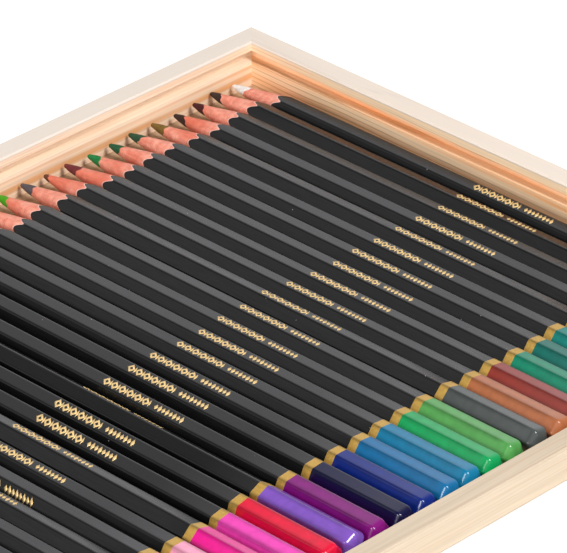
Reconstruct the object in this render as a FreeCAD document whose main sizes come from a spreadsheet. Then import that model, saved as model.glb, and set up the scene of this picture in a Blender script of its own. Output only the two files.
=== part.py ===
"""Open pine tray of colouring pencils: a shallow sliding-lid box, lid off, holding one row of pencils.

Frame: millimetres, +X along the row of pencils, +Y along each pencil towards its point, +Z up.
The origin is the middle of the underside. The front wall (at -Y) is low, the other three are high.
"""
import FreeCAD, Part
import os
from math import cos, radians

import Sketcher

os.makedirs("parts", exist_ok=True)
doc = FreeCAD.newDocument("pencil_box")

# ---------------------------------------------------------------------------------------------
# Driving dimensions
# ---------------------------------------------------------------------------------------------
SIZES = [
    # name, value, what it is
    ("pencil_length", 178.0, "whole pencil, point to domed end"),
    ("pencil_flats", 6.75, "pencil across its flats"),
    ("pencil_edge_radius", 0.8, "rounding of the six long edges"),
    ("pencil_clearance", 0.05, "least air beside and under each pencil"),
    ("cone_length", 16.6, "point to where the sharpened cone reaches the flats"),
    ("point_radius", 0.5, "blunt end of the lead"),
    ("lead_diameter", 2.9, "lead core"),
    ("dip_depth", 0.8, "wood and lacquer left closed behind the lead at the domed end"),
    ("dome_excess", 0.7, "how much larger the domed end's radius is than the hexagon's corner radius"),
    ("wall_thickness", 6.5, "all four walls"),
    ("floor_thickness", 2.5, "floor panel"),
    ("floor_tongue", 3.0, "rebate in the walls that takes the floor panel's edge"),
    ("floor_clearance", 0.1, "air between the floor panel's edge and the rebate"),
    ("lid_headroom", 0.25, "air between a pencil that lies flat and the lid that slides over it"),
    ("groove_height", 3.4, "lid groove, bottom to top"),
    ("groove_depth", 3.0, "lid groove, into the wall"),
    ("lip_height", 2.6, "wall left standing above the lid groove"),
    ("front_drop", 0.2, "front wall's top below the lid groove"),
    ("rim_chamfer", 0.4, "softened edges of the walls"),
    ("right_slack", 4.4, "air between the right wall and the first pencil"),
    ("left_slack", 1.5, "air between the last pencil and the left wall"),
    ("point_gap", 1.6, "middling air between the back wall and the points"),
    ("end_gap", 1.4, "middling air between the domed ends and the front wall"),
]
PENCIL_COUNT = 36

# How each pencil happens to lie, counted from the right wall: its roll in degrees (positive tips
# the upper flat towards the left wall), the extra air after it in mm, and its slip, as a share of
# the middling gap that it slips into (positive towards the front wall, negative towards the back).
ROLLS = [0, -15, -12, -5, -12, -7, -8, -9, -10, -10, -14, -10,
         -8, -6, -5, -1, 4, 6, 25, 11, 11, -17, -2, -8,
         -17, -8, -5, 3, -11, -6, -14, -3, 5, -9, -12, -7]
EXTRA_AIR = [0, 0, 0, 0.3, 0.2, 0, 0.3, 0.2, 0, 0, 0.9, 0.1,
             0, 0, 0.3, 0, 0.6, 0.2, 0, 0, 0.5, 0.3, 0.1, 0.2,
             0, 0.3, 0, 0.2, 0.5, 0, 0.1, 0.4, 0, 0.2, 0, 0]
SLIPS = [-0.31, -0.81, -0.19, 0.21, -0.12, -0.37, 0, 0.14, -0.25, 0, -0.44, -0.56,
         -0.25, -0.12, 0.29, 0.29, 0.36, 0.07, -0.44, -0.44, 0.5, 0.43, 0.86, 0.14,
         -0.25, 0.36, 0.07, -0.37, 0.21, 0.57, -0.12, 0, 0.36, -0.25, 0.14, -0.06]

sheet = doc.addObject("Spreadsheet::Sheet", "sizes")


def put(row, name, value):
    """Write one number into the sheet under its own name."""
    cell = "B%d" % row
    sheet.set("A%d" % row, name)
    sheet.set(cell, repr(float(value)))
    sheet.setAlias(cell, name)


for row, (name, value, meaning) in enumerate(SIZES, start=1):
    put(row, name, value)
    sheet.set("C%d" % row, meaning)
doc.recompute()


def size(name):
    """The value that the sheet holds under a name."""
    return float(sheet.get(name))


# ---------------------------------------------------------------------------------------------
# The row of pencils: where each one lies follows from its section and how far it is rolled
# ---------------------------------------------------------------------------------------------
def half_width(roll):
    """Half the width that a rolled pencil takes up in the row."""
    edge = size("pencil_edge_radius")
    core = (size("pencil_flats") / 2 - edge) / cos(radians(30))
    return core * cos(radians(roll)) + edge


def axis_rise(roll):
    """Height of a rolled pencil's axis over what it lies on."""
    edge = size("pencil_edge_radius")
    core = (size("pencil_flats") / 2 - edge) / cos(radians(30))
    return core * cos(radians(30 - abs(roll))) + edge


def lay_row():
    """Each pencil's roll, distance from the right wall to its axis, and slip in mm."""
    lay = []
    reach = size("right_slack")
    for number in range(PENCIL_COUNT):
        roll = ROLLS[number % len(ROLLS)]
        share = SLIPS[number % len(SLIPS)]
        slip = share * size("end_gap" if share > 0 else "point_gap")
        lay.append((roll, reach + half_width(roll), slip))
        reach += 2 * half_width(roll)
        if number < PENCIL_COUNT - 1:
            reach += size("pencil_clearance") + EXTRA_AIR[number % len(EXTRA_AIR)]
    return lay, reach


row_lay, row_reach = lay_row()
put(len(SIZES) + 1, "inner_width", row_reach + size("left_slack"))
put(len(SIZES) + 2, "inner_length", size("point_gap") + size("pencil_length") + size("end_gap"))
doc.recompute()
INNER_WIDTH = size("inner_width")
INNER_LENGTH = size("inner_length")
THICKNESS = size("wall_thickness")


# ---------------------------------------------------------------------------------------------
# Helpers
# ---------------------------------------------------------------------------------------------
def bind(feature, **expressions):
    """Bind properties of a feature to expressions over the sheet."""
    for prop, text in expressions.items():
        feature.setExpression(prop, text)


def attach(body, sketch, role):
    """Lay a sketch on one of its own body's origin planes."""
    plane = [item for item in body.Origin.OriginFeatures if item.Role == role][0]
    sketch.AttachmentSupport = [(plane, "")]
    sketch.MapMode = "FlatFace"


def outline(body, name, role, corners):
    """A closed outline of straight sides. Each corner is a pair of expressions over the sheet."""
    sketch = body.newObject("Sketcher::SketchObject", name)
    attach(body, sketch, role)
    guess = [(sheet_value(x), sheet_value(y)) for x, y in corners]
    count = len(corners)
    for i in range(count):
        start = FreeCAD.Vector(*guess[i], 0)
        end = FreeCAD.Vector(*guess[(i + 1) % count], 0)
        sketch.addGeometry(Part.LineSegment(start, end))
    for i in range(count):
        sketch.addConstraint(Sketcher.Constraint("Coincident", i, 2, (i + 1) % count, 1))
    for i, (x, y) in enumerate(corners):
        place(sketch, i, 1, x, y)
    return sketch


def place(sketch, geometry, point, x, y):
    """Fix one sketch point at a pair of expressions."""
    for kind, axis, text in (("DistanceX", -2, x), ("DistanceY", -1, y)):
        value = sheet_value(text)
        if abs(value) < 1e-9:
            sketch.addConstraint(Sketcher.Constraint("PointOnObject", geometry, point, axis))
            continue
        row = sketch.addConstraint(Sketcher.Constraint(kind, -1, 1, geometry, point, value))
        sketch.setExpression("Constraints[%d]" % row, text)


def sheet_value(text):
    """Work out an expression over the sheet."""
    return float(sheet.evalExpression(text))


def solid_of(body, feature):
    """Recompute and return the body's volume, so that a cut that misses can be seen."""
    body.Tip = feature
    doc.recompute()
    return body.Shape.Volume


def pad(body, sketch, name, length, backwards=False):
    """Pad a sketch by an expression."""
    feature = body.newObject("PartDesign::Pad", name)
    feature.Profile = sketch
    feature.Reversed = backwards
    bind(feature, Length=length)
    solid_of(body, feature)
    sketch.Visibility = False
    return feature


def pocket(body, sketch, name, length=None, backwards=False):
    """Cut a sketch out of the body, right through it unless a length is given."""
    before = body.Shape.Volume
    feature = body.newObject("PartDesign::Pocket", name)
    feature.Profile = sketch
    feature.Reversed = backwards
    if length is None:
        feature.Type = "ThroughAll"
        feature.Midplane = True
    else:
        bind(feature, Length=length)
    after = solid_of(body, feature)
    if after >= before - 1e-6:
        raise RuntimeError(name + " cuts nothing")
    return feature


# ---------------------------------------------------------------------------------------------
# Walls
# ---------------------------------------------------------------------------------------------
S = "sizes."
OVER_FLOOR = S + "floor_thickness + "
GROOVE_LOW = OVER_FLOOR + S + "pencil_flats + " + S + "lid_headroom"
GROOVE_HIGH = GROOVE_LOW + " + " + S + "groove_height"
RIM = GROOVE_HIGH + " + " + S + "lip_height"
CHAMFER = S + "rim_chamfer"
OUTER = S + "wall_thickness"


def grooved_section(body, role):
    """Section of a high wall: inner face on the sketch's Y axis, underside on its X axis."""
    deep = S + "groove_depth"
    corners = [
        ("0", "0"),
        (OUTER + " - " + CHAMFER, "0"),
        (OUTER, CHAMFER),
        (OUTER, RIM + " - " + CHAMFER),
        (OUTER + " - " + CHAMFER, RIM),
        (CHAMFER, RIM),
        ("0", RIM + " - " + CHAMFER),
        ("0", GROOVE_HIGH),
        (deep, GROOVE_HIGH),
        (deep, GROOVE_LOW),
        ("0", GROOVE_LOW),
    ]
    return outline(body, "wall_section", role, corners)


def make_back_wall():
    """Back wall: grooved board along X, mitred at both ends, rebated for the floor."""
    body = doc.addObject("PartDesign::Body", "back_wall")
    length = S + "inner_width + 2 * " + OUTER
    pad(body, grooved_section(body, "YZ_Plane"), "board", length)
    near = outline(body, "near_mitre", "XY_Plane", [("0", "0"), (OUTER, "0"), ("0", OUTER)])
    pocket(body, near, "near_mitre_cut")
    far = outline(body, "far_mitre", "XY_Plane",
                  [(length, "0"), (length, OUTER), (length + " - " + OUTER, "0")])
    pocket(body, far, "far_mitre_cut")
    tongue = S + "floor_tongue"
    rebate = outline(body, "rebate_section", "YZ_Plane",
                     [("0", "0"), (tongue, "0"), (tongue, S + "floor_thickness"),
                      ("0", S + "floor_thickness")])
    pocket(body, rebate, "floor_rebate", length, backwards=True)
    body.Placement.Base = FreeCAD.Vector(-INNER_WIDTH / 2 - THICKNESS, INNER_LENGTH / 2, 0)
    return body


def make_right_wall():
    """Right wall: grooved board along Y, mitred at the back, square at the front.

    Its rebate stops short of the front end, so that the end grain shows no notch.
    """
    body = doc.addObject("PartDesign::Body", "right_wall")
    length = S + "inner_length + 2 * " + OUTER
    pad(body, grooved_section(body, "XZ_Plane"), "board", length, backwards=True)
    mitre = outline(body, "mitre", "XY_Plane",
                    [("0", length), ("0", length + " - " + OUTER), (OUTER, length)])
    pocket(body, mitre, "mitre_cut")
    tongue = S + "floor_tongue"
    stop = OUTER + " - " + tongue
    rebate = outline(body, "rebate_plan", "XY_Plane",
                     [("0", stop), (tongue, stop), (tongue, length), ("0", length)])
    pocket(body, rebate, "floor_rebate", S + "floor_thickness", backwards=True)
    body.Placement.Base = FreeCAD.Vector(INNER_WIDTH / 2, -INNER_LENGTH / 2 - THICKNESS, 0)
    return body


def make_left_wall(right_wall):
    """Left wall: the right wall mirrored across the middle of the box."""
    wall = doc.addObject("Part::Mirroring", "left_wall")
    wall.Source = right_wall
    wall.Normal = FreeCAD.Vector(1, 0, 0)
    wall.Base = FreeCAD.Vector(0, 0, 0)
    return wall


def make_front_wall():
    """Front wall: low plain board between the side walls, rebated for the floor."""
    body = doc.addObject("PartDesign::Body", "front_wall")
    top = GROOVE_LOW + " - " + S + "front_drop"
    seat = OUTER + " - " + S + "floor_tongue"
    corners = [
        (CHAMFER, "0"),
        (seat, "0"),
        (seat, S + "floor_thickness"),
        (OUTER, S + "floor_thickness"),
        (OUTER, top + " - " + CHAMFER),
        (OUTER + " - " + CHAMFER, top),
        (CHAMFER, top),
        ("0", top + " - " + CHAMFER),
        ("0", CHAMFER),
    ]
    pad(body, outline(body, "wall_section", "YZ_Plane", corners), "board", S + "inner_width")
    body.Placement.Base = FreeCAD.Vector(-INNER_WIDTH / 2, -INNER_LENGTH / 2 - THICKNESS, 0)
    return body


def make_floor_panel():
    """Floor: thin panel let into the rebates, flush with the underside."""
    panel = doc.addObject("Part::Box", "floor_panel")
    reach = "2 * (" + S + "floor_tongue - " + S + "floor_clearance)"
    bind(panel, Length=S + "inner_width + " + reach, Width=S + "inner_length + " + reach,
         Height=S + "floor_thickness")
    seat = size("floor_tongue") - size("floor_clearance")
    panel.Placement.Base = FreeCAD.Vector(-INNER_WIDTH / 2 - seat, -INNER_LENGTH / 2 - seat, 0)
    return panel


# ---------------------------------------------------------------------------------------------
# Pencils: one casing and one lead core are modelled, and every pencil is a placed pair of them
# ---------------------------------------------------------------------------------------------
FLAT = S + "pencil_flats / 2"
CORNER = S + "pencil_flats / 2 / cos(30)"
POINT = S + "point_radius"
LENGTH = S + "pencil_length"
TAPER = "(" + FLAT + " - " + POINT + ") / " + S + "cone_length"


def make_casing():
    """Hexagonal wood casing along Y from its domed end at 0, sharpened, bored for the lead."""
    body = doc.addObject("PartDesign::Body", "pencil_casing")
    half = CORNER + " / 2"
    corners = [(CORNER, "0"), (half, FLAT), ("-" + half, FLAT),
               ("-" + CORNER, "0"), ("-" + half, "-" + FLAT), (half, "-" + FLAT)]
    bar = pad(body, outline(body, "hexagon", "XZ_Plane", corners), "bar", LENGTH, backwards=True)
    along = ["Edge%d" % (i + 1) for i, edge in enumerate(bar.Shape.Edges)
             if abs(edge.BoundBox.YLength - size("pencil_length")) < 1e-3]
    edges = body.newObject("PartDesign::Fillet", "long_edges")
    edges.Base = (bar, along)
    bind(edges, Radius=S + "pencil_edge_radius")
    solid_of(body, edges)
    groove(body, sharpened_outside(body), "sharpening")
    groove(body, domed_outside(body), "dome")
    bore = outline(body, "bore_section", "YZ_Plane",
                   [(S + "dip_depth", "0"), (LENGTH + " + 1", "0"),
                    (LENGTH + " + 1", S + "lead_diameter / 2"), (S + "dip_depth", S + "lead_diameter / 2")])
    groove(body, bore, "bore")
    return body


def groove(body, sketch, name):
    """Turn a sketch once round the pencil's axis and cut it away."""
    before = body.Shape.Volume
    feature = body.newObject("PartDesign::Groove", name)
    feature.Profile = sketch
    feature.ReferenceAxis = (sketch, ["H_Axis"])
    feature.Angle = 360
    after = solid_of(body, feature)
    if after >= before - 1e-6:
        raise RuntimeError(name + " cuts nothing")
    return feature


def sharpened_outside(body):
    """What sharpening takes off: everything outside the cone, as a half section."""
    outside = CORNER + " + 1"
    start = LENGTH + " - (" + outside + " - " + POINT + ") / (" + TAPER + ")"
    return outline(body, "cone_section", "YZ_Plane",
                   [(LENGTH, POINT), (LENGTH + " + 1", POINT), (LENGTH + " + 1", outside),
                    (start, outside)])


def domed_outside(body):
    """What doming takes off the end at 0: everything outside a sphere, as a half section."""
    sketch = body.newObject("Sketcher::SketchObject", "dome_section")
    attach(body, sketch, "YZ_Plane")
    rounding = CORNER + " + " + S + "dome_excess"
    cut_height = CORNER + " + " + S + "dome_excess / 2"
    radius = sheet_value(rounding)
    reach = sheet_value(cut_height)
    run = radius - (radius ** 2 - reach ** 2) ** 0.5
    centre = FreeCAD.Vector(radius, 0, 0)
    corner = FreeCAD.Vector(run, reach, 0)
    middle = centre + ((FreeCAD.Vector(0, 0, 0) - centre) + (corner - centre)).normalize() * radius
    points = [corner, FreeCAD.Vector(-1, reach, 0), FreeCAD.Vector(-1, 0, 0), FreeCAD.Vector(0, 0, 0)]
    for start, end in zip(points[:-1], points[1:]):
        sketch.addGeometry(Part.LineSegment(start, end))
    arc = sketch.addGeometry(Part.Arc(points[3], middle, corner))
    joins = arc_ends(sketch, arc, points[3])
    sketch.addConstraint(Sketcher.Constraint("Coincident", 0, 2, 1, 1))
    sketch.addConstraint(Sketcher.Constraint("Coincident", 1, 2, 2, 1))
    sketch.addConstraint(Sketcher.Constraint("Coincident", 2, 2, arc, joins[0]))
    sketch.addConstraint(Sketcher.Constraint("Coincident", arc, joins[1], 0, 1))
    sketch.addConstraint(Sketcher.Constraint("Coincident", 2, 2, -1, 1))
    sketch.addConstraint(Sketcher.Constraint("PointOnObject", arc, 3, -1))
    row = sketch.addConstraint(Sketcher.Constraint("Radius", arc, radius))
    sketch.setExpression("Constraints[%d]" % row, rounding)
    row = sketch.addConstraint(Sketcher.Constraint("DistanceY", -1, 1, arc, joins[1], reach))
    sketch.setExpression("Constraints[%d]" % row, cut_height)
    sketch.addConstraint(Sketcher.Constraint("Horizontal", 0))
    sketch.addConstraint(Sketcher.Constraint("Vertical", 1))
    sketch.addConstraint(Sketcher.Constraint("DistanceX", -1, 1, 1, 1, -1))
    return sketch


def arc_ends(sketch, arc, first):
    """Which end of a sketched arc is at a point, and which is the other one."""
    at_start = (sketch.getPoint(arc, 1) - first).Length < 1e-6
    return (1, 2) if at_start else (2, 1)


def make_lead():
    """Lead core: a turned rod that ends in the sharpened cone's blunt point."""
    body = doc.addObject("PartDesign::Body", "lead_core")
    radius = S + "lead_diameter / 2"
    bared = LENGTH + " - (" + radius + " - " + POINT + ") / (" + TAPER + ")"
    section = outline(body, "lead_section", "YZ_Plane",
                      [(S + "dip_depth", "0"), (LENGTH, "0"), (LENGTH, POINT),
                       (bared, radius), (S + "dip_depth", radius)])
    feature = body.newObject("PartDesign::Revolution", "turned_rod")
    feature.Profile = section
    feature.ReferenceAxis = (section, ["H_Axis"])
    feature.Angle = 360
    solid_of(body, feature)
    return body


def place_pencil(number, casing, lead):
    """One pencil: its casing and lead, rolled and set down on the floor in its place in the row."""
    roll, from_wall, slip = row_lay[number - 1]
    pencil = doc.addObject("Part::Compound", "pencil_%02d" % number)
    pencil.Links = [casing, lead]
    rest = size("floor_thickness") + size("pencil_clearance") + axis_rise(roll)
    end = -INNER_LENGTH / 2 + size("end_gap") - slip
    pencil.Placement = FreeCAD.Placement(
        FreeCAD.Vector(INNER_WIDTH / 2 - from_wall, end, rest),
        FreeCAD.Rotation(FreeCAD.Vector(0, 1, 0), -roll))
    return pencil


# ---------------------------------------------------------------------------------------------
# Build, check and write
# ---------------------------------------------------------------------------------------------
back_wall = make_back_wall()
right_wall = make_right_wall()
sub_parts = [back_wall, right_wall, make_left_wall(right_wall), make_front_wall(), make_floor_panel()]
pencil_casing = make_casing()
lead_core = make_lead()
sub_parts += [place_pencil(number, pencil_casing, lead_core) for number in range(1, PENCIL_COUNT + 1)]
doc.recompute()

for item in doc.Objects:
    if "Invalid" in item.State or "Error" in item.State:
        raise RuntimeError(item.Label + " failed: " + str(item.State))
for part in sub_parts:
    if part.Shape.isNull() or not part.Shape.isValid() or not part.Shape.Solids:
        raise RuntimeError(part.Label + " has no valid solid")
for part in sub_parts:
    part.Shape.exportStep("parts/%s.step" % part.Label)

box = sub_parts[0].Shape.BoundBox
for part in sub_parts[1:]:
    box.add(part.Shape.BoundBox)
print("nodes %d, size %.2f x %.2f x %.2f mm" % (len(sub_parts), box.XLength, box.YLength, box.ZLength))
print("inner %.2f x %.2f mm" % (INNER_WIDTH, INNER_LENGTH))
print("casing %.1f mm3, lead %.1f mm3" % (pencil_casing.Shape.Volume, lead_core.Shape.Volume))
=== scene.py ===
# %% [markdown]
# # An open pine box with one row of colouring pencils
#
# The real object is a shallow box of planed pine whose sliding lid has been taken off. Thirty-six
# hexagonal pencils lie side by side in it: black lacquer, a gold band, a dipped coloured end, and a
# sharpened cone of cedar, stained pink, with the coloured core at its tip.
#
# The measured model of the box is loaded first and stays as it is. The boards have the right shape
# already, so they only get a finish. The pencils are built again here as curved surfaces, because
# their charm is in small things: a scalloped edge where the cone cuts the lacquer, a rounded dipped
# end, a band of gold.

# %% Load the measured model
import math
from collections import namedtuple

import bpy
import numpy as np
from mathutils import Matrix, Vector


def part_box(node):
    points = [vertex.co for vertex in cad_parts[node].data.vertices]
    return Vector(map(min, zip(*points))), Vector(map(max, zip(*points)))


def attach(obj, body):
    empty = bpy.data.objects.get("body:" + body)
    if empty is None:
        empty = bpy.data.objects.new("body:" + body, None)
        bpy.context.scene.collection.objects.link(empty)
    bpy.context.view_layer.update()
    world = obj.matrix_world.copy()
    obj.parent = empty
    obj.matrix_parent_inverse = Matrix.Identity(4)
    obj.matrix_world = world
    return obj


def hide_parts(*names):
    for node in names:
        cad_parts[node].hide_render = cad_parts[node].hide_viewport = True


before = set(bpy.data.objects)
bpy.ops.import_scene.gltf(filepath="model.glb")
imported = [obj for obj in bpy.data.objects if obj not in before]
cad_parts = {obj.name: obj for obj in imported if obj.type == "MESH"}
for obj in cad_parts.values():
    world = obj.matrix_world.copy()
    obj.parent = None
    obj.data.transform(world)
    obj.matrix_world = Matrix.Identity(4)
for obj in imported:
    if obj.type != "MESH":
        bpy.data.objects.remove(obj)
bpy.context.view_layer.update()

MM = 0.001                         # the scene is in metres, and most numbers below are in millimetres
pencil_nodes = sorted(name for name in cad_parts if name.startswith("pencil_"))
print("boards:", sorted(set(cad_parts) - set(pencil_nodes)), "pencils:", len(pencil_nodes))

# %% [markdown]
# ## The camera
#
# A small thing is best seen from well back through a long lens, so that parallel edges stay nearly
# parallel. The camera is placed by a direction and a distance from the point that it looks at, which
# is easier to reason about than three rotation angles.

# %% Camera
def direction(azimuth, elevation):
    """Unit vector from the subject: azimuth turns round +Z from -Y, elevation climbs from the table."""
    a, e = math.radians(azimuth), math.radians(elevation)
    return Vector((math.sin(a) * math.cos(e), -math.cos(a) * math.cos(e), math.sin(e)))


LOOK_AT = Vector((74.81, 13.82, 2.5)) * MM
CAMERA_DISTANCE = 1.2832           # metres
SENSOR_WIDTH, FOCAL_LENGTH = 36.0, 328.7

towards_camera = direction(-45.57, 30.07)
camera_data = bpy.data.cameras.new("studio_camera")
camera_data.sensor_width = SENSOR_WIDTH
camera_data.lens = FOCAL_LENGTH
camera_data.clip_start, camera_data.clip_end = 0.05, 20.0
camera = bpy.data.objects.new("studio_camera", camera_data)
camera.location = LOOK_AT + towards_camera * CAMERA_DISTANCE
camera.rotation_mode = "QUATERNION"
camera.rotation_quaternion = (-towards_camera).to_track_quat("-Z", "Y")
bpy.context.scene.collection.objects.link(camera)
bpy.context.scene.camera = camera
print("camera at", [round(x, 3) for x in camera.location])

# %% [markdown]
# ## Colours and nodes
#
# Colours are picked as sRGB hex values, the way a colour picker shows them, but a shader adds light
# in linear values. One function converts. Every material below is a small graph of nodes, and one
# helper adds a node, sets its properties, and either sets or links each of its inputs.
#
# An input is found by its name, or by its number where names repeat: the operands of a maths node are
# 0, 1 and 2, and the colour inputs of a Mix node get names here. Noise is scaled in cells per metre,
# so a scale of 1000 makes blotches one millimetre wide.

# %% Colour and node helpers
def linear(hex_colour, alpha=1.0):
    """sRGB hex to linear: below 0.04045 divide by 12.92, above it ((c + 0.055) / 1.055) to the 2.4."""
    c = np.array([int(hex_colour[i:i + 2], 16) / 255 for i in (1, 3, 5)])
    c = np.where(c <= 0.04045, c / 12.92, ((c + 0.055) / 1.055) ** 2.4)
    return (float(c[0]), float(c[1]), float(c[2]), alpha)


FACTOR, COLOUR_A, COLOUR_B, COLOUR_RESULT = 0, 6, 7, 2     # sockets of a Mix node that mixes colours


def add(tree, kind, stops=None, inputs=None, **settings):
    """Add a node. settings are its properties, inputs its sockets by name or number: a socket is
    linked, anything else is set. stops fill a colour ramp as (position, hex colour) pairs."""
    made = tree.nodes.new(kind)
    for name, value in settings.items():
        setattr(made, name, value)
    for name, value in (inputs or {}).items():
        if isinstance(value, bpy.types.NodeSocket):
            tree.links.new(value, made.inputs[name])
        else:
            made.inputs[name].default_value = value
    if stops:
        ramp = made.color_ramp
        while len(ramp.elements) < len(stops):
            ramp.elements.new(0.5)
        for element, (position, colour) in zip(ramp.elements, stops):
            element.position = position
            element.color = linear(colour)
    return made


def blank_material(name):
    """An empty node material, its tree and its output node."""
    material = bpy.data.materials.new(name)
    material.use_nodes = True
    material.node_tree.nodes.clear()
    output = add(material.node_tree, "ShaderNodeOutputMaterial")
    return material, material.node_tree, output


print("mid grey is", round(linear("#808080")[0], 3), "in linear light")

# %% [markdown]
# ## The studio
#
# The box stands on a white acrylic table, lit a little from below. Two soft boxes light it, one over
# the front and one low at the left, and their reflections make the little windows on the dipped
# ends. Round them is a tent. Black lacquer shows nothing but what it mirrors, so the tent is painted
# for it: bright at the back right, which every top flat mirrors, dim overhead, which the rounded
# edges mirror as dark lines, and dark at the back left but for one pale patch, which the side flats
# catch or miss by a few degrees of roll. A bright strip low at the front left reaches into grooves.

# %% Tent
tent = bpy.data.worlds.new("white_tent")
bpy.context.scene.world = tent
tent.use_nodes = True
tent.node_tree.nodes.clear()
sky = tent.node_tree
sight = add(sky, "ShaderNodeTexCoord").outputs["Generated"]

# the ramp runs round the tent, from the front left at 0 to the back right at 1
BACK_RIGHT = (0.707, 0.707, 0.0)
across = add(sky, "ShaderNodeVectorMath", operation="DOT_PRODUCT", inputs={0: sight, 1: BACK_RIGHT})
place_on_ramp = add(sky, "ShaderNodeMapRange", inputs={
    "Value": across.outputs["Value"], "From Min": -1.0, "From Max": 1.0})
glow = add(sky, "ShaderNodeValToRGB", inputs={"Fac": place_on_ramp.outputs[0]}, stops=[
    (0.0, "#D5D5D5"), (0.15, "#B8B8B8"), (0.30, "#545454"), (0.45, "#3A3A3A"), (0.575, "#6C6C6C"),
    (0.72, "#989898"), (0.85, "#E1E1E3"), (0.94, "#F6F6F9"), (1.0, "#FAFAFD")])

# the pale patch at the back left
PATCH_AT = (-0.60, 0.61, 0.52)
near_patch = add(sky, "ShaderNodeVectorMath", operation="DOT_PRODUCT", inputs={0: sight, 1: PATCH_AT})
patch = add(sky, "ShaderNodeMapRange", interpolation_type="SMOOTHSTEP", inputs={
    "Value": near_patch.outputs["Value"], "From Min": 0.945, "From Max": 0.995,
    "To Min": 0.0, "To Max": 0.64})

# the bright strip low at the front left
rise = add(sky, "ShaderNodeSeparateXYZ", inputs={0: sight}).outputs["Z"]
low = add(sky, "ShaderNodeMapRange", inputs={
    "Value": rise, "From Min": 0.12, "From Max": 0.30, "To Min": 1.5, "To Max": 0.0})
towards_front_left = add(sky, "ShaderNodeMapRange", inputs={
    "Value": across.outputs["Value"], "From Min": -0.25, "From Max": -0.75,
    "To Min": 0.0, "To Max": 1.0})
strip = add(sky, "ShaderNodeMath", operation="MULTIPLY", inputs={
    0: low.outputs[0], 1: towards_front_left.outputs[0]})

both = add(sky, "ShaderNodeMath", operation="ADD", inputs={0: patch.outputs[0], 1: strip.outputs[0]})
lit = add(sky, "ShaderNodeVectorMath", operation="ADD", inputs={
    0: glow.outputs["Color"], 1: both.outputs[0]})
backdrop = add(sky, "ShaderNodeBackground", inputs={"Color": lit.outputs[0], "Strength": 1.2})
add(sky, "ShaderNodeOutputWorld", inputs={"Surface": backdrop.outputs[0]})
bpy.context.scene.view_settings.view_transform = "Standard"
bpy.context.scene.view_settings.look = "None"
print("tent stops:", [round(e.position, 2) for e in glow.color_ramp.elements])


# %% Soft boxes
LAMP_DISTANCE, LAMP_SIDE = 1.3, 0.34         # metres


def soft_box(name, towards, watts):
    """A square area light in that direction, turned to face the box."""
    data = bpy.data.lights.new(name, "AREA")
    data.shape = "RECTANGLE"
    data.size, data.size_y, data.energy = LAMP_SIDE, LAMP_SIDE, watts
    lamp = bpy.data.objects.new(name, data)
    lamp.location = LOOK_AT + towards * LAMP_DISTANCE
    lamp.rotation_mode = "QUATERNION"
    lamp.rotation_quaternion = (-towards).to_track_quat("-Z", "Y")
    bpy.context.scene.collection.objects.link(lamp)


soft_box("soft_box_front", direction(-6, 52), watts=15.5)
soft_box("soft_box_left", direction(-75, 25), watts=6.0)

# %% Table
white_table, tree, output = blank_material("back_lit_acrylic_table")
table_skin = add(tree, "ShaderNodeBsdfPrincipled", inputs={
    "Base Color": linear("#F2F2F2"), "Roughness": 0.6, "Emission Color": linear("#FFFFFF"),
    "Emission Strength": 0.25})
tree.links.new(table_skin.outputs[0], output.inputs["Surface"])
reach, drop = 3.0, -0.0002          # half its width, and how far under the box it lies, in metres
corners = [(-reach, -reach, drop), (reach, -reach, drop), (reach, reach, drop), (-reach, reach, drop)]
table_mesh = bpy.data.meshes.new("table")
table_mesh.from_pydata(corners, [], [(0, 1, 2, 3)])
table_mesh.materials.append(white_table)
table = bpy.data.objects.new("table", table_mesh)
bpy.context.scene.collection.objects.link(table)
print("table is", 2 * reach, "m wide")

# %% [markdown]
# ## Pine boards
#
# Pine shows its growth rings as long stripes: pale early wood, ruddy bands, and thin brown lines
# where a year ended. Painting stripes on each face would not agree round a corner. Here the rings are
# real cylinders round a pith line somewhere beside the board, so every face cuts the same rings, as a
# saw does. The pith line is bent by a slow noise, because no tree is straight. The walls were sawn so
# that their rings lie nearly level, and for them the ruddy bands are set by height in millimetres.
# These bands carry painted light and shade as well: the back wall's groove is painted pale, and the
# side walls are painted orange along the groove's ledge as painted shade under its lip. The top edges
# get a pale grey painted sheen.
#
# Each board has its own pith. Its long grain runs along the board, which is along X for the back and
# front walls and along Y for the two side walls.

# %% Pine
BAND_REACH = 16.0                  # mm of height that the ruddy bands cover


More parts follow.
